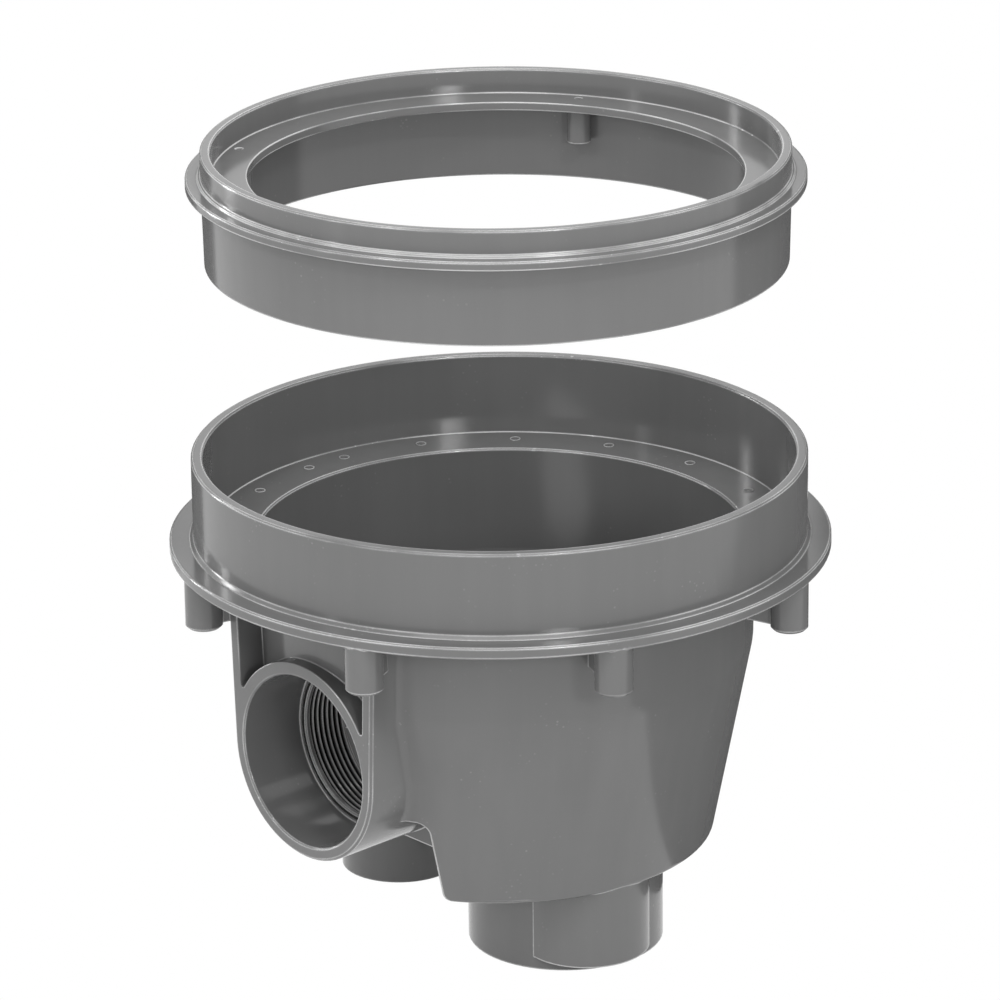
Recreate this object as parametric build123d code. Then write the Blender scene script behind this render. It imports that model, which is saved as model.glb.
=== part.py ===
from build123d import *
import math
import os

# Pool drainage sump: a moulded bucket with a wide collar, and an extension ring that drops into the collar.
# Millimetres, Z up. The pieces stand on the ends of the bottom ports at Z = 0, centred on the collar's axis.
# The functions measure depths down from the collar's top rim, and main() lifts their result to its place.
# The side socket looks along -Y, the deep end of the bucket lies towards +X, the shallow end towards -X.

# Collar, flange and ledge
COLLAR_RADIUS = 155.0
COLLAR_WALL = 6.0
COLLAR_HEIGHT = 43.2
FLANGE_RADIUS = 167.0
FLANGE_THICKNESS = 6.0
LEDGE_OPENING_RADIUS = 122.8
RIM_BEVEL = 0.9
FLANGE_BEVEL = 0.8
COLLAR_ROOT_BEVEL = 1.8

# Bucket: a nearly straight throat above a cone
BUCKET_WALL = 6.0
THROAT_DEPTH = 99.0
THROAT_DRAFT = 1.0
THROAT_CORNER_ROUND = 30.0
BUCKET_TAPER = 0.195
DEEP_END_DROP = 20.0
FLOOR_CORNER_ROUND = 3.0
FLOOR_CORNER_BEVEL = 2.0
DEEP_WALL_X = 55.8
DEEP_EDGE_ROUND = 5.0
BAY_MARGIN = 8.3
BAY_CORNER_ROUND = 6.0

# Side socket with its two cheeks
SOCKET_DEPTH_BELOW_RIM = 131.7
SOCKET_PROJECTION = 6.3
SOCKET_BORE_RADIUS = 44.5
SOCKET_BORE_DEPTH = 37.0
SOCKET_WALL = 6.8
SOCKET_EDGE_BEVEL = 1.4
SOCKET_ROOT_ROUND = 4.0
SOCKET_MOUTH_CHAMFER = 0.8
SOCKET_STOP_WIDTH = 1.9
SOCKET_INNER_END_Y = 71.0
CHEEK_TOP_HALF_WIDTH = 54.6
CHEEK_WALL = 6.6
CHEEK_POCKET_ROUND = 1.6
NOTCH_CEILING_DEPTH = 158.0
NOTCH_BACK_Y = 80.6
NOTCH_ROUND = 6.0

# Bottom ports
PORT_END_DEPTH = 250.0
MAIN_PORT_X = 45.9
MAIN_PORT_RADIUS = 49.7
MAIN_PORT_BORE_RADIUS = 44.5
MAIN_PORT_BORE_DEPTH = 38.0
MAIN_PORT_STOP_RADIUS = 40.0
PORT_PAD_X = 74.5
PORT_PAD_Y = -12.5
PORT_PAD_RADIUS = 32.0
PORT_PAD_END_DEPTH = 243.5
SMALL_PORT_X = 80.8
SMALL_PORT_RADIUS = 30.8
SMALL_PORT_BORE_RADIUS = 24.2
SMALL_PORT_BORE_DEPTH = 30.0
SMALL_PORT_STOP_RADIUS = 20.5
PORT_MOUTH_CHAMFER = 1.0

# Bosses under the flange and their gussets
BOSS_COUNT = 8
BOSS_FIRST_ANGLE = -67.5
BOSS_RADIUS = 9.4
BOSS_LENGTH = 24.3
BOSS_END_BEVEL = 1.4
BOSS_INSET = 0.2
GUSSET_THICKNESS = 4.0
GUSSET_HEIGHT = 23.4
GUSSET_WALL_HEIGHT = 21.4

# Extension ring
RING_CLEARANCE = 3.0
RING_WALL = 5.2
RING_RIM_HEIGHT = 13.0
RING_STEP_WIDTH = 1.5
RING_STEP_HEIGHT = 1.2
RING_FLANGE_OVERHANG = 7.6
RING_FLANGE_THICKNESS = 4.3
RING_SKIRT_LENGTH = 39.7
RING_SKIRT_DRAFT = 0.8
RING_LEDGE_OPENING_RADIUS = 123.0
RING_EDGE_BEVEL = 0.7
RING_LIFT = 141.0
SCREW_BOSS_COUNT = 4
SCREW_BOSS_FIRST_ANGLE = 29.0
SCREW_BOSS_RADIUS = 6.0
SCREW_BOSS_LENGTH = 18.6
SCREW_BOSS_WALL_OVERLAP = 0.8
SCREW_HOLE_RADIUS = 1.9

# Values worked out from the sizes above
COLLAR_BORE_RADIUS = COLLAR_RADIUS - COLLAR_WALL
FLANGE_TOP = -COLLAR_HEIGHT
FLANGE_BOTTOM = FLANGE_TOP - FLANGE_THICKNESS
THROAT_RADIUS = LEDGE_OPENING_RADIUS + BUCKET_WALL
CONE_RADIUS = THROAT_RADIUS - THROAT_DRAFT
SOCKET_RADIUS = SOCKET_BORE_RADIUS + SOCKET_WALL
SOCKET_AXIS_Z = -SOCKET_DEPTH_BELOW_RIM
SOCKET_FACE_Y = THROAT_RADIUS + SOCKET_PROJECTION
THREAD_BORE_RADIUS = SOCKET_BORE_RADIUS - SOCKET_STOP_WIDTH
SHALLOW_FLOOR_DEPTH = SOCKET_DEPTH_BELOW_RIM + SOCKET_RADIUS
DEEP_FLOOR_DEPTH = SHALLOW_FLOOR_DEPTH + DEEP_END_DROP
BAY_RADIUS = MAIN_PORT_RADIUS + BAY_MARGIN
RING_RADIUS = COLLAR_BORE_RADIUS - RING_CLEARANCE
RING_INNER_RADIUS = RING_RADIUS - RING_WALL
SPAN = 3 * FLANGE_RADIUS


def section(points):
    """Closed face in the XZ plane from (radius, height) points."""
    corners = [(x, 0, z) for x, z in points]
    return make_face(Polyline(*corners, close=True))


def corners_at(face, spots):
    """The face's corners at the given (radius, height) spots."""
    return [v for v in face.vertices() if any(abs(v.X - x) + abs(v.Z - z) < 1e-4 for x, z in spots)]


def rounded(face, radius, spots):
    """The face with its corners at the given spots rounded."""
    return fillet(corners_at(face, spots), radius)


def bevelled(face, width, spots):
    """The face with its corners at the given spots bevelled."""
    return chamfer(corners_at(face, spots), width)


def turned(face):
    """The face turned once round the Z axis."""
    return revolve(face, Axis.Z)


def rod(radius, x, y, low, high):
    """Round bar along Z between two heights."""
    return Pos(x, y, low) * Cylinder(radius, high - low, align=(Align.CENTER, Align.CENTER, Align.MIN))


def block(x0, x1, y0, y1, z0, z1):
    """Box between two corners."""
    return Pos(x0, y0, z0) * Box(x1 - x0, y1 - y0, z1 - z0, align=(Align.MIN, Align.MIN, Align.MIN))


def cone_radius(z, inset=0.0):
    """Outer radius of the cone at a height, less an inset."""
    return CONE_RADIUS - BUCKET_TAPER * (-THROAT_DEPTH - z) - inset


def bucket_outside():
    """Collar, flange, throat and cone as one solid of revolution."""
    floor = -DEEP_FLOOR_DEPTH
    points = [
        (0, floor),
        (cone_radius(floor), floor),
        (CONE_RADIUS, -THROAT_DEPTH),
        (THROAT_RADIUS, FLANGE_BOTTOM),
        (FLANGE_RADIUS, FLANGE_BOTTOM),
        (FLANGE_RADIUS, FLANGE_TOP),
        (COLLAR_RADIUS, FLANGE_TOP),
        (COLLAR_RADIUS, 0),
        (0, 0),
    ]
    face = section(points)
    face = rounded(face, FLOOR_CORNER_ROUND, [points[1]])
    face = rounded(face, THROAT_CORNER_ROUND, [points[2]])
    face = bevelled(face, FLANGE_BEVEL, [points[4], points[5]])
    face = bevelled(face, COLLAR_ROOT_BEVEL, [points[6]])
    face = bevelled(face, RIM_BEVEL, [points[7]])
    return turned(face)


def bucket_space(floor):
    """Room inside the collar and the bucket, down to a floor height."""
    inset = BUCKET_WALL
    points = [
        (0, floor),
        (cone_radius(floor, inset), floor),
        (CONE_RADIUS - inset, -THROAT_DEPTH),
        (LEDGE_OPENING_RADIUS, FLANGE_BOTTOM),
        (LEDGE_OPENING_RADIUS, FLANGE_TOP),
        (COLLAR_BORE_RADIUS, FLANGE_TOP),
        (COLLAR_BORE_RADIUS, -RIM_BEVEL),
        (COLLAR_BORE_RADIUS + RIM_BEVEL, 0),
        (COLLAR_BORE_RADIUS + RIM_BEVEL, 1),
        (0, 1),
    ]
    face = section(points)
    face = bevelled(face, FLOOR_CORNER_BEVEL, [points[1]])
    face = bevelled(face, RIM_BEVEL, [points[4]])
    return turned(face)


def deep_end(offset, low, high):
    """Prism over the deep end: all beyond the deep wall, and the bay round the main port."""
    beyond = block(DEEP_WALL_X + offset, SPAN, -SPAN, SPAN, low, high)
    prism = beyond + rod(BAY_RADIUS - offset, MAIN_PORT_X, 0, low, high)
    corners = [e for e in prism.edges().filter_by(Axis.Z) if abs(e.center().Y) < BAY_RADIUS]
    return fillet(corners, BAY_CORNER_ROUND)


def deep_part(low, high):
    """The deep end as it is kept outside, with its lower edges rounded."""
    prism = deep_end(0, low, high)
    return fillet(prism.faces().sort_by(Axis.Z)[0].edges(), DEEP_EDGE_ROUND)


def notch(offset):
    """Space under the side socket, open to the front and downwards, with a rounded ceiling."""
    half = DEEP_WALL_X + offset
    top = -NOTCH_CEILING_DEPTH + offset
    height = SPAN
    sketch = Plane.XZ * Pos(0, top - height / 2) * RectangleRounded(2 * half, height, NOTCH_ROUND)
    return Pos(0, -NOTCH_BACK_Y + offset, 0) * extrude(sketch, SPAN)


def socket_bar(radius, inner_end_y):
    """Rod along the socket's axis, from its face to an inner end."""
    length = SOCKET_FACE_Y - inner_end_y
    bar = Cylinder(radius, length, align=(Align.CENTER, Align.CENTER, Align.MIN))
    return Pos(0, -inner_end_y, SOCKET_AXIS_Z) * Rot(90, 0, 0) * bar


def cheek_face(half_top, radius, top):
    """Upright face that narrows from its top to the sides of a circle round the socket's axis."""
    rise = top - SOCKET_AXIS_Z
    touch = math.atan2(rise, half_top) - math.acos(radius / math.hypot(half_top, rise))
    x = radius * math.cos(touch)
    z = SOCKET_AXIS_Z + radius * math.sin(touch)
    return section([(x, z), (half_top, top), (-half_top, top), (-x, z)])


def side_socket():
    """The socket's rod, widening upwards into the outline of the two cheeks that reach the flange."""
    depth = SOCKET_FACE_Y - SOCKET_INNER_END_Y
    top = (FLANGE_BOTTOM + FLANGE_TOP) / 2
    circle = Plane.XZ * Pos(0, SOCKET_AXIS_Z) * Circle(SOCKET_RADIUS)
    outline = cheek_face(CHEEK_TOP_HALF_WIDTH, SOCKET_RADIUS, top) + circle
    solid = extrude(outline, depth, dir=(0, -1, 0))
    front = solid.faces().sort_by(Axis.Y)[0]
    solid = chamfer([e for e in front.edges() if e.center().Z < FLANGE_BOTTOM], SOCKET_EDGE_BEVEL)
    return Pos(0, -SOCKET_INNER_END_Y, 0) * solid


def cheek_pocket():
    """The open pocket between the cheeks, above the socket's rod."""
    inner = cheek_face(CHEEK_TOP_HALF_WIDTH - CHEEK_WALL, SOCKET_RADIUS - CHEEK_WALL, FLANGE_BOTTOM)
    pocket = inner - Plane.XZ * Pos(0, SOCKET_AXIS_Z) * Circle(SOCKET_RADIUS)
    low = min(v.Z for v in pocket.vertices() if abs(v.X) > SOCKET_RADIUS / 2)
    pocket = fillet([v for v in pocket.vertices() if v.Z < low + 1e-3], CHEEK_POCKET_ROUND)
    return extrude(pocket, SOCKET_FACE_Y, dir=(0, -1, 0))


def bucket_with_socket():
    """The bucket's outside with the side socket blended into it and the pocket left open."""
    bucket = bucket_outside()
    socket = side_socket()
    joined = bucket + socket
    roots = [e for e in new_edges(bucket, socket, combined=joined) if e.center().Z < FLANGE_BOTTOM - 1e-3]
    return fillet(roots, SOCKET_ROOT_ROUND) - (cheek_pocket() - bucket)


def side_bore():
    """The socket's slip bore with its chamfered mouth, and the thread's bore behind the pipe stop."""
    mouth = Cone(SOCKET_BORE_RADIUS, SOCKET_BORE_RADIUS + SOCKET_MOUTH_CHAMFER, SOCKET_MOUTH_CHAMFER,
                 align=(Align.CENTER, Align.CENTER, Align.MAX))
    bore = socket_bar(SOCKET_BORE_RADIUS, SOCKET_FACE_Y - SOCKET_BORE_DEPTH)
    bore += Pos(0, -SOCKET_FACE_Y, SOCKET_AXIS_Z) * Rot(90, 0, 0) * mouth
    return bore + socket_bar(THREAD_BORE_RADIUS, SOCKET_INNER_END_Y - 1)


def port_bore(x, bore_radius, bore_depth, stop_radius, top):
    """Slip socket of a bottom port with its stop and its way through the floor."""
    end = -PORT_END_DEPTH
    mouth = Cone(bore_radius + PORT_MOUTH_CHAMFER, bore_radius, PORT_MOUTH_CHAMFER,
                 align=(Align.CENTER, Align.CENTER, Align.MIN))
    bore = rod(bore_radius, x, 0, end, end + bore_depth) + Pos(x, 0, end) * mouth
    return bore + rod(stop_radius, x, 0, end, top)


def boss_and_gusset(angle):
    """One round boss under the flange with its radial gusset."""
    centre = FLANGE_RADIUS - BOSS_INSET - BOSS_RADIUS
    inner = (LEDGE_OPENING_RADIUS + THROAT_RADIUS) / 2
    top = (FLANGE_BOTTOM + FLANGE_TOP) / 2
    boss = rod(BOSS_RADIUS, centre, 0, FLANGE_BOTTOM - BOSS_LENGTH, top)
    boss = chamfer(boss.edges().sort_by(Axis.Z)[0], BOSS_END_BEVEL)
    web = section([(inner, FLANGE_BOTTOM - GUSSET_WALL_HEIGHT), (centre, FLANGE_BOTTOM - GUSSET_HEIGHT),
                   (centre, top), (inner, top)])
    gusset = extrude(web, GUSSET_THICKNESS / 2, both=True)
    return Rot(0, 0, angle) * (boss + gusset)


def sump_body():
    """The bucket with collar, flange, side socket, bottom ports and bosses, in one moulding."""
    deep_floor = -DEEP_FLOOR_DEPTH
    shallow_floor = -SHALLOW_FLOOR_DEPTH
    body = bucket_with_socket()
    body -= block(-SPAN, SPAN, -SPAN, SPAN, -SPAN, shallow_floor) - deep_part(deep_floor, shallow_floor)
    body -= notch(0) - side_socket()
    for index in range(BOSS_COUNT):
        body += boss_and_gusset(BOSS_FIRST_ANGLE + index * 360 / BOSS_COUNT)
    deep_root = deep_floor + BUCKET_WALL / 2
    shallow_root = shallow_floor + BUCKET_WALL / 2
    body += rod(MAIN_PORT_RADIUS, MAIN_PORT_X, 0, -PORT_END_DEPTH, deep_root)
    body += rod(PORT_PAD_RADIUS, PORT_PAD_X, PORT_PAD_Y, -PORT_PAD_END_DEPTH, deep_root)
    body += rod(SMALL_PORT_RADIUS, -SMALL_PORT_X, 0, -PORT_END_DEPTH, shallow_root)
    space = bucket_space(shallow_floor + BUCKET_WALL)
    deep_space = bucket_space(deep_floor + BUCKET_WALL)
    space += deep_space & deep_end(BUCKET_WALL, deep_floor + BUCKET_WALL, shallow_floor + BUCKET_WALL + 1)
    space -= notch(BUCKET_WALL)
    space -= socket_bar(SOCKET_RADIUS, SOCKET_INNER_END_Y)
    body -= space
    body -= side_bore()
    body -= port_bore(MAIN_PORT_X, MAIN_PORT_BORE_RADIUS, MAIN_PORT_BORE_DEPTH, MAIN_PORT_STOP_RADIUS,
                      deep_floor + BUCKET_WALL + 1)
    body -= port_bore(-SMALL_PORT_X, SMALL_PORT_BORE_RADIUS, SMALL_PORT_BORE_DEPTH, SMALL_PORT_STOP_RADIUS,
                      shallow_floor + BUCKET_WALL + 1)
    return body


def extension_ring():
    """The ring with its rim, step, flange, ledge, skirt and screw bosses, lifted above the collar."""
    flange_top = RING_FLANGE_THICKNESS
    rim_top = flange_top + RING_RIM_HEIGHT
    flange_radius = RING_RADIUS + RING_FLANGE_OVERHANG
    step_radius = RING_RADIUS + RING_STEP_WIDTH
    skirt_radius = RING_RADIUS - RING_SKIRT_DRAFT
    points = [
        (RING_LEDGE_OPENING_RADIUS, 0),
        (RING_LEDGE_OPENING_RADIUS, flange_top),
        (RING_INNER_RADIUS, flange_top),
        (RING_INNER_RADIUS, rim_top),
        (RING_RADIUS, rim_top),
        (RING_RADIUS, flange_top + RING_STEP_HEIGHT),
        (step_radius, flange_top + RING_STEP_HEIGHT),
        (step_radius, flange_top),
        (flange_radius, flange_top),
        (flange_radius, 0),
        (RING_RADIUS, 0),
        (skirt_radius, -RING_SKIRT_LENGTH),
        (skirt_radius - RING_WALL + RING_SKIRT_DRAFT, -RING_SKIRT_LENGTH),
        (RING_INNER_RADIUS, 0),
    ]
    face = section(points)
    face = bevelled(face, RING_EDGE_BEVEL, [points[3], points[4], points[8]])
    ring = turned(face)
    centre = RING_INNER_RADIUS + SCREW_BOSS_WALL_OVERLAP - SCREW_BOSS_RADIUS
    for index in range(SCREW_BOSS_COUNT):
        turn = Rot(0, 0, SCREW_BOSS_FIRST_ANGLE + index * 360 / SCREW_BOSS_COUNT)
        ring += turn * rod(SCREW_BOSS_RADIUS, centre, 0, -SCREW_BOSS_LENGTH, flange_top / 2)
        ring -= turn * rod(SCREW_HOLE_RADIUS, centre, 0, -SCREW_BOSS_LENGTH, flange_top)
    return Pos(0, 0, RING_LIFT) * ring


def main():
    """Writes one STEP file for each moulding."""
    os.makedirs("parts", exist_ok=True)
    pieces = {"sump_body": sump_body(), "extension_ring": extension_ring()}
    for name, piece in pieces.items():
        solid = Pos(0, 0, PORT_END_DEPTH) * piece
        solid.label = name
        export_step(solid, f"parts/{name}.step")
        print(name, "solids", len(solid.solids()), "volume cm3", round(solid.volume / 1000, 1))


main()
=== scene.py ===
import logging
import math
from dataclasses import dataclass
from enum import Enum
from typing import Any, Callable, Iterable, Optional

import bpy
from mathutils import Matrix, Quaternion, Vector


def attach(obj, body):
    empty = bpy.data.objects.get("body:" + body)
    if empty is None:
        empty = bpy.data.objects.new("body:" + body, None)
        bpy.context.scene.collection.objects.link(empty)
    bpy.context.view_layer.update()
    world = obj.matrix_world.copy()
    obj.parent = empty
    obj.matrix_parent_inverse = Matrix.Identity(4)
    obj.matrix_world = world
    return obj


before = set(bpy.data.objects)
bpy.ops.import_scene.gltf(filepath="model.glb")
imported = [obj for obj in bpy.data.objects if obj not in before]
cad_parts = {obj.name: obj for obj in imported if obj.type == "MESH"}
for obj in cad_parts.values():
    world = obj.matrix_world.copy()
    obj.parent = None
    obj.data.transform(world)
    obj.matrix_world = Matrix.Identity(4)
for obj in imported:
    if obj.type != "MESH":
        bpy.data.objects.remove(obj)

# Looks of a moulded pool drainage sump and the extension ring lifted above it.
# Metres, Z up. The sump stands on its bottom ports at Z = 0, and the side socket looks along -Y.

logging.basicConfig(level=logging.INFO, format="%(message)s")
log = logging.getLogger("sump")

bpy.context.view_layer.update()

# Millimetres: the rim above the floor, then the side socket's axis and the ledge below the rim
RIM_HEIGHT = 250.0
SOCKET_DROP = 131.7
LEDGE_DROP = 43.2

MM = 0.001
RIM_Z = RIM_HEIGHT * MM
SOCKET_Z = (RIM_HEIGHT - SOCKET_DROP) * MM
LEDGE_Z = (RIM_HEIGHT - LEDGE_DROP) * MM
MERGE_GAP = 0.001 * MM
SMOOTH_ANGLE = math.radians(35.0)
WHITE = (1.0, 1.0, 1.0, 1.0)
RING_GREY = 0.13

# Sockets of a Mix node when it mixes colours
MIX_SHARE, MIX_UNDER, MIX_OVER, MIX_RESULT = 0, 6, 7, 2


class Body(Enum):
    """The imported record's body that the new pieces ride on."""

    SUMP = "sump"


class Slot(Enum):
    """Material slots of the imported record."""

    BODY = "body_plastic"
    RING = "ring_plastic"


class Socket:
    """An output of a node, with the maths that the finishes use."""

    def __init__(self, bench: "Bench", output: bpy.types.NodeSocket) -> None:
        """Keeps the bench that owns the node, and the output itself."""
        self.bench = bench
        self.output = output

    def _math(self, operation: str, *values: Any) -> "Socket":
        """One Math node with these values."""
        return self.bench.node("ShaderNodeMath", {"operation": operation}, dict(enumerate(values)))

    def __add__(self, other: Any) -> "Socket":
        """Sum."""
        return self._math("ADD", self, other)

    __radd__ = __add__

    def __mul__(self, other: Any) -> "Socket":
        """Product."""
        return self._math("MULTIPLY", self, other)

    __rmul__ = __mul__

    def __sub__(self, other: Any) -> "Socket":
        """Difference."""
        return self._math("SUBTRACT", self, other)

    def __rsub__(self, other: Any) -> "Socket":
        """Difference, the other way round."""
        return self._math("SUBTRACT", other, self)

    def most(self, other: Any) -> "Socket":
        """The larger of the two."""
        return self._math("MAXIMUM", self, other)

    def above(self, low: float, high: float) -> "Socket":
        """A mask that rises from 0 at low to 1 at high.

        Args:
            low: Value where the mask starts to rise.
            high: Value where the mask is full.

        Returns:
            The clamped mask.
        """
        settings = {"interpolation_type": "SMOOTHSTEP", "clamp": True}
        values = {"Value": self, "From Min": low, "From Max": high}
        return self.bench.node("ShaderNodeMapRange", settings, values)


class Bench:
    """The node tree of a material or a world, with one method that adds any node."""

    def __init__(self, owner: Any, output_kind: str = "ShaderNodeOutputMaterial") -> None:
        """Starts an empty tree.

        Args:
            owner: The material or the world.
            output_kind: Type of its output node.
        """
        owner.use_nodes = True
        self.owner = owner
        self.output_kind = output_kind
        self.tree = owner.node_tree
        self.tree.nodes.clear()

    def node(self, kind: str, settings: Optional[dict] = None, values: Optional[dict] = None,
             output: Any = 0) -> Socket:
        """Adds a node, sets it and fills its inputs.

        Args:
            kind: Type of the node.
            settings: Attributes that are set before the inputs.
            values: Inputs by name or number; each is a number, a colour or a Socket.
            output: Name or number of the output that is given back.

        Returns:
            The chosen output.
        """
        made = self.tree.nodes.new(kind)
        for key, value in (settings or {}).items():
            setattr(made, key, value)
        for key, value in (values or {}).items():
            if isinstance(value, Socket):
                self.tree.links.new(value.output, made.inputs[key])
            else:
                made.inputs[key].default_value = value
        return Socket(self, made.outputs[output])

    def ramp(self, factor: Socket, stops: Iterable[tuple[float, float]]) -> Socket:
        """Adds a grey ramp.

        Args:
            factor: What drives the ramp.
            stops: Pairs of position and grey value.

        Returns:
            The ramp's colour output.
        """
        result = self.node("ShaderNodeValToRGB", values={"Fac": factor})
        elements = result.output.node.color_ramp.elements
        for index, (place, grey) in enumerate(stops):
            element = elements[index] if index < 2 else elements.new(place)
            element.position = place
            element.color = grey_colour(grey)
        return result

    def end(self, shader: Socket) -> Any:
        """Links a shader to the output.

        Args:
            shader: The finished shader.

        Returns:
            The tree's owner, a material or a world.
        """
        last = self.tree.nodes.new(self.output_kind)
        self.tree.links.new(shader.output, last.inputs["Surface"])
        return self.owner


def grey_colour(grey: float) -> tuple[float, float, float, float]:
    """This grey as a colour."""
    return (grey, grey, grey, 1.0)


def new_bench(name: str) -> Bench:
    """A bench on a new material of this name."""
    return Bench(bpy.data.materials.new(name))


def seen_plainly(bench: Bench) -> Socket:
    """Tells what is looked at or mirrored from what is only lit.

    Args:
        bench: Bench of a material or a world.

    Returns:
        1 for rays from the camera and from glossy or clear surfaces, else 0.
    """
    shares = [bench.node("ShaderNodeLightPath", output=name) for name in (
        "Is Camera Ray", "Is Glossy Ray", "Is Transmission Ray")]
    return shares[0].most(shares[1]).most(shares[2])


@dataclass(frozen=True)
class Grain:
    """Plain noise, and the part of its range that shows when it is used as a mask.

    Attributes:
        scale: Turns per metre.
        detail: How many finer layers it has.
        low: Value where its mask starts to rise.
        high: Value where its mask is full.
    """

    scale: float
    detail: float
    low: float = 0.0
    high: float = 1.0

    def noise(self, bench: Bench, place: Socket) -> Socket:
        """The noise itself."""
        values = {"Vector": place, "Scale": self.scale, "Detail": self.detail}
        return bench.node("ShaderNodeTexNoise", values=values)

    def mask(self, bench: Bench, place: Socket) -> Socket:
        """The noise as a mask."""
        return self.noise(bench, place).above(self.low, self.high)


@dataclass(frozen=True)
class MouldedPlastic:
    """Dark grey moulded plastic: satin skin, faint upright streaks, painted highlights along the edges, a
    little chalky dust.

    Attributes:
        name: Name of the material.
        grey: The plastic's own grey.
        clouds: Slow clouds of tone, whose mask also says where the painted edge highlights show.
        cloud_spread: Share of the grey that the clouds change.
        streaks: Noise of the streaks, on a place that streak_turns stretches upright.
        streak_turns: Streaks per metre along X, Y and Z.
        streak_spread: Share of the grey that the streaks change.
        roughness: Roughness of the clean skin.
        roughness_spread: How far the streaks change it.
        edge_radius: Radius of the softened edges.
        edge_samples: Rays that look for an edge.
        edge_turn: Turn of the surface where the painted edge highlight starts to show and where it shows
            fully.
        edge_highlight_grey: Grey of the painted highlight on an edge.
        edge_highlight_share: How much of an edge the painted highlight covers.
        nicks: Small knocks on the edges.
        nick_patches: Where the knocks gather.
        nick_grey: Grey of a knock.
        dust_patches: Where the dust lies.
        speck_scale: Dust specks per metre.
        speck_size: Distance from a speck's middle where it starts to fade and where it ends.
        dust_grey: Grey of the dust.
        dust_share: How much of the plastic a speck covers.
        dust_roughness: Roughness that full dust adds.
        waves: Slow waves of the moulding.
        wave_depth: Depth of the waves.
        skin: Fine grain of the skin.
        skin_depth: Depth of the grain.
        relief: Strength of the waves and of the grain.
        ior: How strongly the plastic bends light.
    """

    name: str
    grey: float = 0.125
    clouds: Grain = Grain(14.0, 4.0, 0.25, 0.65)
    cloud_spread: float = 0.06
    streaks: Grain = Grain(1.0, 3.0)
    streak_turns: tuple[float, float, float] = (110.0, 110.0, 5.0)
    streak_spread: float = 0.05
    roughness: float = 0.15
    roughness_spread: float = 0.08
    edge_radius: float = 1.3 * MM
    edge_samples: int = 8
    edge_turn: tuple[float, float] = (0.06, 0.40)
    # Painted highlight along the edges: its grey and how much of an edge it covers
    edge_highlight_grey: float = 0.66
    edge_highlight_share: float = 0.85
    nicks: Grain = Grain(330.0, 1.0, 0.66, 0.72)
    nick_patches: Grain = Grain(38.0, 2.0, 0.50, 0.62)
    nick_grey: float = 0.60
    dust_patches: Grain = Grain(38.0, 5.0, 0.54, 0.74)
    speck_scale: float = 300.0
    speck_size: tuple[float, float] = (0.10, 0.22)
    dust_grey: float = 0.38
    dust_share: float = 0.22
    dust_roughness: float = 0.40
    waves: Grain = Grain(45.0, 1.0)
    wave_depth: float = 0.05 * MM
    skin: Grain = Grain(700.0, 2.0)
    skin_depth: float = 0.004 * MM
    relief: float = 1.0
    ior: float = 1.5

    def make(self) -> bpy.types.Material:
        """Builds the material.

        Returns:
            A material that reads Object coordinates only.
        """
        bench = new_bench(self.name)
        place = bench.node("ShaderNodeTexCoord", output="Object")
        settings = {"samples": self.edge_samples}
        round_edge = bench.node("ShaderNodeBevel", settings, {"Radius": self.edge_radius})
        clouds = self.clouds.noise(bench, place)
        drawn = bench.node("ShaderNodeMapping", values={"Vector": place, "Scale": self.streak_turns})
        streaks = self.streaks.noise(bench, drawn)
        edge = self._edge(bench, round_edge)
        dust = self._dust(bench, place)
        tone = self._tone(bench, clouds, streaks)
        # Painted highlight: a pale grey laid along the edges, in place of the light that rounded edges catch,
        # thinned out by the clouds
        painted_edge_highlight = edge * clouds.above(self.clouds.low, self.clouds.high) * self.edge_highlight_share
        tone = self._over(bench, tone, painted_edge_highlight, self.edge_highlight_grey)
        tone = self._over(bench, tone, dust, self.dust_grey)
        tone = self._over(bench, tone, self._nicks(bench, place, edge), self.nick_grey)
        rough = (streaks - 0.5) * self.roughness_spread + self.roughness + dust * self.dust_roughness
        shader = bench.node("ShaderNodeBsdfPrincipled", values={
            "Base Color": tone,
            "Roughness": rough,
            "IOR": self.ior,
            "Normal": self._relief(bench, place, round_edge),
        })
        return bench.end(shader)

    def _tone(self, bench: Bench, clouds: Socket, streaks: Socket) -> Socket:
        """The plastic's own grey.

        Args:
            bench: The material's bench.
            clouds: Noise of the clouds.
            streaks: Noise of the streaks.

        Returns:
            The grey with its clouds and streaks.
        """
        mixed = clouds * self.cloud_spread + streaks * self.streak_spread
        middle = (self.cloud_spread + self.streak_spread) / 2
        return bench.ramp(mixed - middle + 0.5, [
            (0.5 - middle / 2, self.grey * (1.0 - middle)),
            (0.5 + middle / 2, self.grey * (1.0 + middle)),
        ])

    def _over(self, bench: Bench, under: Socket, share: Socket, grey: float) -> Socket:
        """The colour below, with a share of it covered by a grey."""
        values = {MIX_SHARE: share, MIX_UNDER: under, MIX_OVER: grey_colour(grey)}
        return bench.node("ShaderNodeMix", {"data_type": "RGBA"}, values, output=MIX_RESULT)

    def _edge(self, bench: Bench, round_edge: Socket) -> Socket:
        """Finds the edges, where the rounded surface leaves the flat one.

        Args:
            bench: The material's bench.
            round_edge: Normal of the surface with softened edges.

        Returns:
            A mask of the edges.
        """
        flat = bench.node("ShaderNodeNewGeometry", output="Normal")
        turn = bench.node("ShaderNodeVectorMath", {"operation": "DISTANCE"}, {0: round_edge, 1: flat},
                          output="Value")
        return turn.above(*self.edge_turn)

    def _nicks(self, bench: Bench, place: Socket, edge: Socket) -> Socket:
        """Small pale knocks, on the edges only."""
        return edge * self.nicks.mask(bench, place) * self.nick_patches.mask(bench, place)

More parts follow.
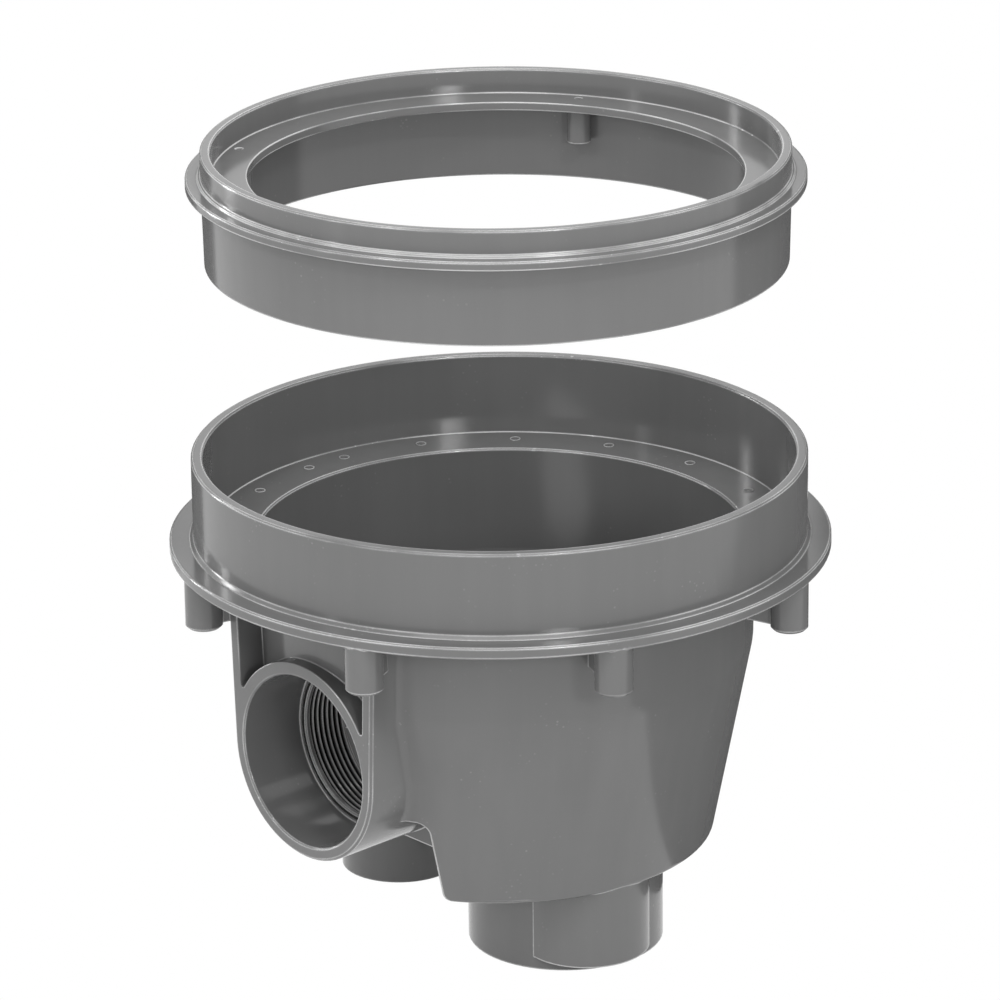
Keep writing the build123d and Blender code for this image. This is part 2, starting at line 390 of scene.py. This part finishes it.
    def _dust(self, bench: Bench, place: Socket) -> Socket:
        """Chalky dust: fine specks inside soft patches.

        Args:
            bench: The material's bench.
            place: Place on the piece.

        Returns:
            Share of the plastic that the dust covers.
        """
        patches = self.dust_patches.mask(bench, place)
        cells = bench.node("ShaderNodeTexVoronoi", values={"Vector": place, "Scale": self.speck_scale},
                           output="Distance")
        specks = 1.0 - cells.above(*self.speck_size)
        return patches * specks * self.dust_share

    def _relief(self, bench: Bench, place: Socket, round_edge: Socket) -> Socket:
        """The normal with the slow waves and the fine skin of a moulding over its soft edges."""
        waves = self._bump(bench, self.waves.noise(bench, place), self.wave_depth, round_edge)
        return self._bump(bench, self.skin.noise(bench, place), self.skin_depth, waves)

    def _bump(self, bench: Bench, height: Socket, depth: float, normal: Socket) -> Socket:
        """The normal with one more layer of relief, whose height goes from 0 to 1."""
        values = {"Strength": self.relief, "Distance": depth, "Height": height, "Normal": normal}
        return bench.node("ShaderNodeBump", values=values)


@dataclass(frozen=True)
class ThreadPlastic(MouldedPlastic):
    """The same plastic on the thread, with painted highlights on the crests' edges and painted shade
    darkening it towards the roots.

    Attributes:
        shade_start_radius: Distance from the socket's axis where the painted root shade starts.
        shade_full_radius: Distance where the painted shade covers all.
        root_shade_grey: Grey of the painted shade in the thread's roots.
    """

    # Painted shade in the thread's roots: where it starts, where it is full, and its grey
    shade_start_radius: float = 40.3 * MM
    shade_full_radius: float = 41.6 * MM
    root_shade_grey: float = 0.012

    def _tone(self, bench: Bench, clouds: Socket, streaks: Socket) -> Socket:
        """The plastic's grey, darker with the distance from the socket's axis: painted shade in the thread's
        roots.

        Args:
            bench: The material's bench.
            clouds: Noise of the clouds.
            streaks: Noise of the streaks.

        Returns:
            The grey with its clouds, streaks and painted root shade.
        """
        place = bench.node("ShaderNodeTexCoord", output="Object")
        across = bench.node("ShaderNodeVectorMath", {"operation": "MULTIPLY"}, {0: place, 1: (1.0, 0.0, 1.0)})
        offset = bench.node("ShaderNodeVectorMath", {"operation": "DISTANCE"}, {
            0: across, 1: (0.0, 0.0, SOCKET_Z)}, output="Value")
        # Painted shade: the thread darkens towards its roots, in place of the shade that falls in the grooves
        root_shade = offset.above(self.shade_start_radius, self.shade_full_radius)
        return self._over(bench, super()._tone(bench, clouds, streaks), root_shade, self.root_shade_grey)


@dataclass(frozen=True)
class StudioWhite:
    """Floor paint: plain white when it is looked at or mirrored, pale grey to the light it passes on."""

    name: str = "studio_white"
    grey: float = 0.80

    def make(self) -> bpy.types.Material:
        """Builds the material.

        Returns:
            A material that shows the floor as white as the backdrop.
        """
        bench = new_bench(self.name)
        diffuse = bench.node("ShaderNodeBsdfDiffuse", values={"Color": grey_colour(self.grey)})
        white = bench.node("ShaderNodeEmission", values={"Color": WHITE, "Strength": 1.0})
        mixed = bench.node("ShaderNodeMixShader", values={0: seen_plainly(bench), 1: diffuse, 2: white})
        return bench.end(mixed)


@dataclass(frozen=True)
class DarkCard:
    """Flat dark paint of the cards that only the reflections show."""

    name: str = "dark_card"
    grey: float = 0.10

    def make(self) -> bpy.types.Material:
        """Builds the material.

        Returns:
            A material that looks the same from every side.
        """
        bench = new_bench(self.name)
        flat = bench.node("ShaderNodeEmission", values={"Color": grey_colour(self.grey), "Strength": 1.0})
        return bench.end(flat)


def deselect() -> None:
    """Deselects everything, in object mode."""
    if bpy.context.object is not None and bpy.context.object.mode != "OBJECT":
        bpy.ops.object.mode_set(mode="OBJECT")
    bpy.ops.object.select_all(action="DESELECT")


def take_up(piece: bpy.types.Object) -> None:
    """Makes a piece the only selected one and the active one.

    Args:
        piece: The piece that the next operators work on.
    """
    deselect()
    piece.select_set(True)
    bpy.context.view_layer.objects.active = piece


def settle(piece: bpy.types.Object) -> None:
    """Moves a piece's place, turn and scale into its mesh."""
    take_up(piece)
    bpy.ops.object.transform_apply(location=True, rotation=True, scale=True)


def pick_faces(piece: bpy.types.Object, wanted: Callable[[bpy.types.MeshPolygon], bool]) -> None:
    """Opens edit mode on a piece with only the wanted faces selected.

    Args:
        piece: The mesh object.
        wanted: Test of a face.
    """
    take_up(piece)
    bpy.ops.object.mode_set(mode="EDIT")
    bpy.ops.mesh.select_mode(type="FACE")
    bpy.ops.mesh.select_all(action="DESELECT")
    bpy.ops.object.mode_set(mode="OBJECT")
    for face in piece.data.polygons:
        face.select = wanted(face)
    bpy.ops.object.mode_set(mode="EDIT")


def dress(piece: bpy.types.Object, finish: bpy.types.Material) -> None:
    """Gives a piece one finish in place of what it had."""
    piece.data.materials.clear()
    piece.data.materials.append(finish)


@dataclass
class SideSocketThread:
    """Thread turns and lip inside the side socket, behind the pipe's slip bore.

    Attributes:
        wall_radius: Radius of the bore that the thread stands in.
        crest_radius: Radius to the crests of the thread and to the lip.
        sink: How far both reach into the wall.
        pitch: Travel of the thread for each turn.
        turns: Number of turns.
        crest_width: Width of a turn at its crest.
        root_width: Width of a turn in the wall.
        lip_front_y: Front of the lip.
        first_y: Back of the lip, where the middle of the first turn starts.
        lip_bevel: Bevel of the lip's front corner.
        steps: Segments in a full turn.
    """

    wall_radius: float = 42.6 * MM
    crest_radius: float = 40.1 * MM
    sink: float = 0.4 * MM
    pitch: float = 3.175 * MM
    turns: int = 7
    crest_width: float = 0.45 * MM
    root_width: float = 3.1 * MM
    lip_front_y: float = -98.1 * MM
    first_y: float = -95.2 * MM
    lip_bevel: float = 0.7 * MM
    steps: int = 96

    def build(self, finish: bpy.types.Material) -> list[bpy.types.Object]:
        """Makes and dresses the thread and the lip.

        Args:
            finish: Their finish.

        Returns:
            The two finished pieces.
        """
        pieces = [self._thread(), self._lip()]
        for piece in pieces:
            dress(piece, finish)
        return pieces

    def _profile(self, name: str, spots: list[tuple[float, float]]) -> bpy.types.Object:
        """Closed outline in the plane X = 0, from (radius, y) spots above the socket's axis.

        Args:
            name: Name of the piece.
            spots: Corners of the outline, in order.

        Returns:
            An object with one face.
        """
        deselect()
        bpy.ops.mesh.primitive_circle_add(vertices=len(spots), radius=1.0, fill_type="NGON")
        piece = bpy.context.object
        piece.name = name
        for corner, (radius, y) in zip(piece.data.vertices, spots):
            corner.co = (0.0, y, radius)
        return piece

    def _turned(self, piece: bpy.types.Object, lead: float, turns: int) -> bpy.types.Object:
        """Turns a profile round the socket's axis.

        Args:
            piece: The profile, drawn above an axis through the origin along Y.
            lead: Travel along the axis for each turn; 0 closes the ring.
            turns: Number of turns.

        Returns:
            The same piece with its modifiers applied, at its place.
        """
        take_up(piece)
        screw = piece.modifiers.new("turn", "SCREW")
        screw.axis = "Y"
        screw.angle = math.tau
        screw.screw_offset = lead
        screw.iterations = turns
        screw.steps = self.steps
        screw.render_steps = self.steps
        screw.use_merge_vertices = lead == 0.0
        screw.merge_threshold = MERGE_GAP
        bpy.ops.object.modifier_apply(modifier=screw.name)
        piece.location = (0.0, 0.0, SOCKET_Z)
        settle(piece)
        bpy.ops.object.mode_set(mode="EDIT")
        bpy.ops.mesh.select_all(action="SELECT")
        bpy.ops.mesh.remove_doubles(threshold=MERGE_GAP)
        bpy.ops.mesh.normals_make_consistent(inside=False)
        bpy.ops.object.mode_set(mode="OBJECT")
        bpy.ops.object.shade_smooth_by_angle(angle=SMOOTH_ANGLE)
        return piece

    def _thread(self) -> bpy.types.Object:
        """Makes the helical ridge.

        Returns:
            The finished thread.
        """
        base = self.wall_radius + self.sink
        half_root, half_crest = self.root_width / 2, self.crest_width / 2
        spots = [
            (base, self.first_y - half_root),
            (self.crest_radius, self.first_y - half_crest),
            (self.crest_radius, self.first_y + half_crest),
            (base, self.first_y + half_root),
        ]
        return self._turned(self._profile("socket_thread", spots), self.pitch, self.turns)

    def _lip(self) -> bpy.types.Object:
        """Makes the ring at the end of the slip bore, where the thread starts.

        Returns:
            The finished lip.
        """
        base = self.wall_radius + self.sink
        spots = [
            (base, self.lip_front_y),
            (self.crest_radius + self.lip_bevel, self.lip_front_y),
            (self.crest_radius, self.lip_front_y + self.lip_bevel),
            (self.crest_radius, self.first_y),
            (base, self.first_y),
        ]
        return self._turned(self._profile("socket_lip", spots), 0.0, 1)


@dataclass
class LedgeMarks:
    """Round marks that the mould's pins left on the ledge inside the collar.

    Attributes:
        radius: Radius of a mark.
        height: Height of its rim above the ledge.
        rim: Width of its rim.
        dip: How deep its middle lies below the rim, as a share of the height.
        sides: Number of sides that make its circle.
        upward: Least rise of a normal that counts as the top.
        circle_radius: Radius of the circle that the marks lie on.
        angles: Places of the marks on that circle, in degrees from +X towards +Y.
    """

    radius: float = 2.8 * MM
    height: float = 0.35 * MM
    rim: float = 0.5 * MM
    dip: float = 0.6
    sides: int = 28
    upward: float = 0.9
    circle_radius: float = 138.0 * MM
    angles: tuple[float, ...] = (6.3, 27.5, 48.7, 69.9, 91.5, 112.8, 134.0, 154.9, 173.6, 183.5, 201.1,
                                 217.9, 239.1, 260.3, 281.5, 302.7, 323.9, 345.1)

    def build(self, finish: bpy.types.Material) -> list[bpy.types.Object]:
        """Makes and dresses all the marks as one piece.

        Args:
            finish: Their finish.

        Returns:
            The finished piece, alone in its list.
        """
        first = self._mark()
        marks = [first]
        for _ in self.angles[1:]:
            copy = first.copy()
            copy.data = first.data.copy()
            bpy.context.collection.objects.link(copy)
            marks.append(copy)
        for mark, degrees in zip(marks, self.angles):
            angle = math.radians(degrees)
            mark.location = (
                self.circle_radius * math.cos(angle),
                self.circle_radius * math.sin(angle),
                LEDGE_Z,
            )
        deselect()
        for mark in marks:
            mark.select_set(True)
        bpy.context.view_layer.objects.active = first
        bpy.ops.object.join()
        first.name = "ledge_marks"
        settle(first)
        dress(first, finish)
        return [first]

    def _mark(self) -> bpy.types.Object:
        """Makes one shallow disc with a raised rim.

        Returns:
            The mark, at the origin.
        """
        deselect()
        bpy.ops.mesh.primitive_cylinder_add(vertices=self.sides, radius=self.radius, depth=2 * self.height)
        mark = bpy.context.object
        pick_faces(mark, lambda face: face.normal.z > self.upward)
        bpy.ops.mesh.inset(thickness=self.rim)
        bpy.ops.transform.translate(value=(0.0, 0.0, -self.dip * self.height))
        bpy.ops.object.mode_set(mode="OBJECT")
        bpy.ops.object.shade_smooth_by_angle(angle=SMOOTH_ANGLE)
        return mark


@dataclass(frozen=True)
class Spot:
    """A flat lamp or card that faces the object.

    Attributes:
        name: Name of the lamp or card.
        azimuth: Degrees from the camera's side, positive to the camera's right.
        elevation: Degrees above the horizon.
        distance: Distance from the middle of the object, in metres.
        size: Width and height, in metres.
        power: Power of a lamp, in watts.
        flat: Whether a card lies on the floor, below its spot.
    """

    name: str
    azimuth: float
    elevation: float
    distance: float
    size: tuple[float, float]
    power: float = 0.0
    flat: bool = False


@dataclass
class Studio:
    """Floor, lamps, cards, world and camera.

    Attributes:
        middle: Point that the lamps and cards face.
        camera_azimuth: Degrees of the camera from -Y towards +X.
        camera_elevation: Degrees of the camera above the middle of the rim.
        camera_distance: Distance of the camera from the middle of the rim.
        camera_drop: Degrees that the camera looks below the middle of the rim.
        camera_roll: Degrees that the camera is turned about its own view.
        camera_lens: Focal length, in millimetres.
        camera_sensor: Width of the sensor, in millimetres.
        camera_reach: How far the camera sees, in metres.
        floor_size: Side of the floor, in metres.
        floor_gap: How far the floor lies below the feet of the sump.
        card_gap: How far a flat card lies above them.
        sky: Strength of the soft light from all round.
        lamps: All lamps.
        cards: All dark cards.
    """

    middle: tuple[float, float, float] = (0.0, 0.0, 0.2)
    camera_azimuth: float = 47.5
    camera_elevation: float = 19.24
    camera_distance: float = 2.79
    camera_drop: float = 0.54
    camera_roll: float = -0.7
    camera_lens: float = 199.9
    camera_sensor: float = 36.0
    camera_reach: float = 100.0
    floor_size: float = 30.0
    floor_gap: float = 0.5 * MM
    card_gap: float = 0.3 * MM
    sky: float = 0.95
    lamps: tuple[Spot, ...] = (
        Spot("key", 26.0, 52.0, 1.8, (0.14, 0.14), 4.0),
        Spot("front_right", 20.0, 21.0, 1.8, (0.28, 0.20), 6.0),
        Spot("back_left", 219.5, 19.9, 1.73, (0.16, 0.10), 0.70),
        Spot("left_front", -45.0, 46.0, 1.8, (0.14, 0.14), 3.0),
        Spot("left_strip", -120.0, 6.0, 1.5, (0.12, 1.2), 7.0),
        Spot("left_band", -62.0, 8.0, 1.6, (0.08, 1.2), 3.0),
        Spot("above", 0.0, 80.0, 1.8, (1.4, 1.4), 16.0),
    )
    cards: tuple[Spot, ...] = (
        Spot("card_right", 130.0, 0.0, 0.6, (0.80, 1.6)),
        Spot("card_left", -146.0, 0.0, 0.6, (0.30, 1.6)),
        Spot("card_floor", 118.0, 0.0, 0.5, (0.8, 0.8), flat=True),
    )

    def build(self) -> None:
        """Makes the whole studio."""
        self._floor()
        self._world()
        for spot in self.lamps:
            self._lamp(spot)
        paint = DarkCard().make()
        for spot in self.cards:
            self._card(spot, paint)
        self._camera()
        bpy.context.scene.view_settings.view_transform = "Standard"

    def _direction(self, azimuth: float, elevation: float) -> Vector:
        """Unit vector at these degrees from -Y towards +X and above the horizon."""
        around, up = math.radians(azimuth), math.radians(elevation)
        return Vector((math.sin(around) * math.cos(up), -math.cos(around) * math.cos(up), math.sin(up)))

    def _stand(self, thing: bpy.types.Object, spot: Spot) -> None:
        """Puts a lamp or card at its spot, with its face to the middle of the object.

        Args:
            thing: The lamp or card.
            spot: Where it stands.
        """
        away = self._direction(self.camera_azimuth + spot.azimuth, spot.elevation)
        thing.location = Vector(self.middle) + away * spot.distance
        thing.rotation_mode = "QUATERNION"
        thing.rotation_quaternion = away.to_track_quat("Z", "Y")

    def _floor(self) -> None:
        """The floor that the sump stands on."""
        deselect()
        bpy.ops.mesh.primitive_plane_add(size=self.floor_size, location=(0.0, 0.0, -self.floor_gap))
        floor = bpy.context.object
        floor.name = "floor"
        floor.data.materials.append(StudioWhite().make())

    def _world(self) -> None:
        """White where it is seen, and an even soft light elsewhere."""
        world = bpy.data.worlds.new("studio")
        bpy.context.scene.world = world
        bench = Bench(world, "ShaderNodeOutputWorld")
        soft, white = [bench.node("ShaderNodeBackground", values={
            "Color": WHITE, "Strength": strength}) for strength in (self.sky, 1.0)]
        bench.end(bench.node("ShaderNodeMixShader", values={0: seen_plainly(bench), 1: soft, 2: white}))

    def _lamp(self, spot: Spot) -> None:
        """Makes one area lamp.

        Args:
            spot: Its name, place, size and power.
        """
        data = bpy.data.lights.new(spot.name, "AREA")
        data.shape = "RECTANGLE"
        data.size, data.size_y = spot.size
        data.energy = spot.power
        lamp = bpy.data.objects.new(spot.name, data)
        bpy.context.scene.collection.objects.link(lamp)
        self._stand(lamp, spot)

    def _card(self, spot: Spot, paint: bpy.types.Material) -> None:
        """Makes one dark card that only reflections show.

        Args:
            spot: Its name, place and size.
            paint: Its material.
        """
        deselect()
        bpy.ops.mesh.primitive_plane_add(size=1.0)
        card = bpy.context.object
        card.name = spot.name
        card.scale = (spot.size[0], spot.size[1], 1.0)
        self._stand(card, spot)
        if spot.flat:
            card.location.z = self.card_gap
            card.rotation_quaternion = (1.0, 0.0, 0.0, 0.0)
        card.data.materials.append(paint)
        card.visible_camera = False
        card.visible_diffuse = False
        card.visible_shadow = False

    def _camera(self) -> None:
        """The camera at the photograph's viewing angle."""
        data = bpy.data.cameras.new("camera")
        data.lens = self.camera_lens
        data.sensor_width = self.camera_sensor
        data.clip_end = self.camera_reach
        camera = bpy.data.objects.new("camera", data)
        bpy.context.scene.collection.objects.link(camera)
        away = self._direction(self.camera_azimuth, self.camera_elevation)
        camera.location = Vector((0.0, 0.0, RIM_Z)) + away * self.camera_distance
        look = -self._direction(self.camera_azimuth, self.camera_elevation + self.camera_drop)
        roll = Quaternion((0.0, 0.0, 1.0), math.radians(self.camera_roll))
        camera.rotation_mode = "QUATERNION"
        camera.rotation_quaternion = look.to_track_quat("-Z", "Y") @ roll
        bpy.context.scene.camera = camera


def main() -> None:
    """Dresses the mouldings, builds and dresses the new pieces, then builds the studio."""
    body_finish = MouldedPlastic(Slot.BODY.value).make()
    ring_finish = MouldedPlastic(Slot.RING.value, grey=RING_GREY).make()
    for node, finish in (("sump_body", body_finish), ("extension_ring", ring_finish)):
        dress(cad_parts[node], finish)
        log.info("%s: dressed", node)
    thread_finish = ThreadPlastic("thread_plastic").make()
    for piece in SideSocketThread().build(thread_finish) + LedgeMarks().build(body_finish):
        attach(piece, Body.SUMP.value)
        log.info("%s: %d faces", piece.name, len(piece.data.polygons))
    Studio().build()


if __name__ == "__main__":
    main()
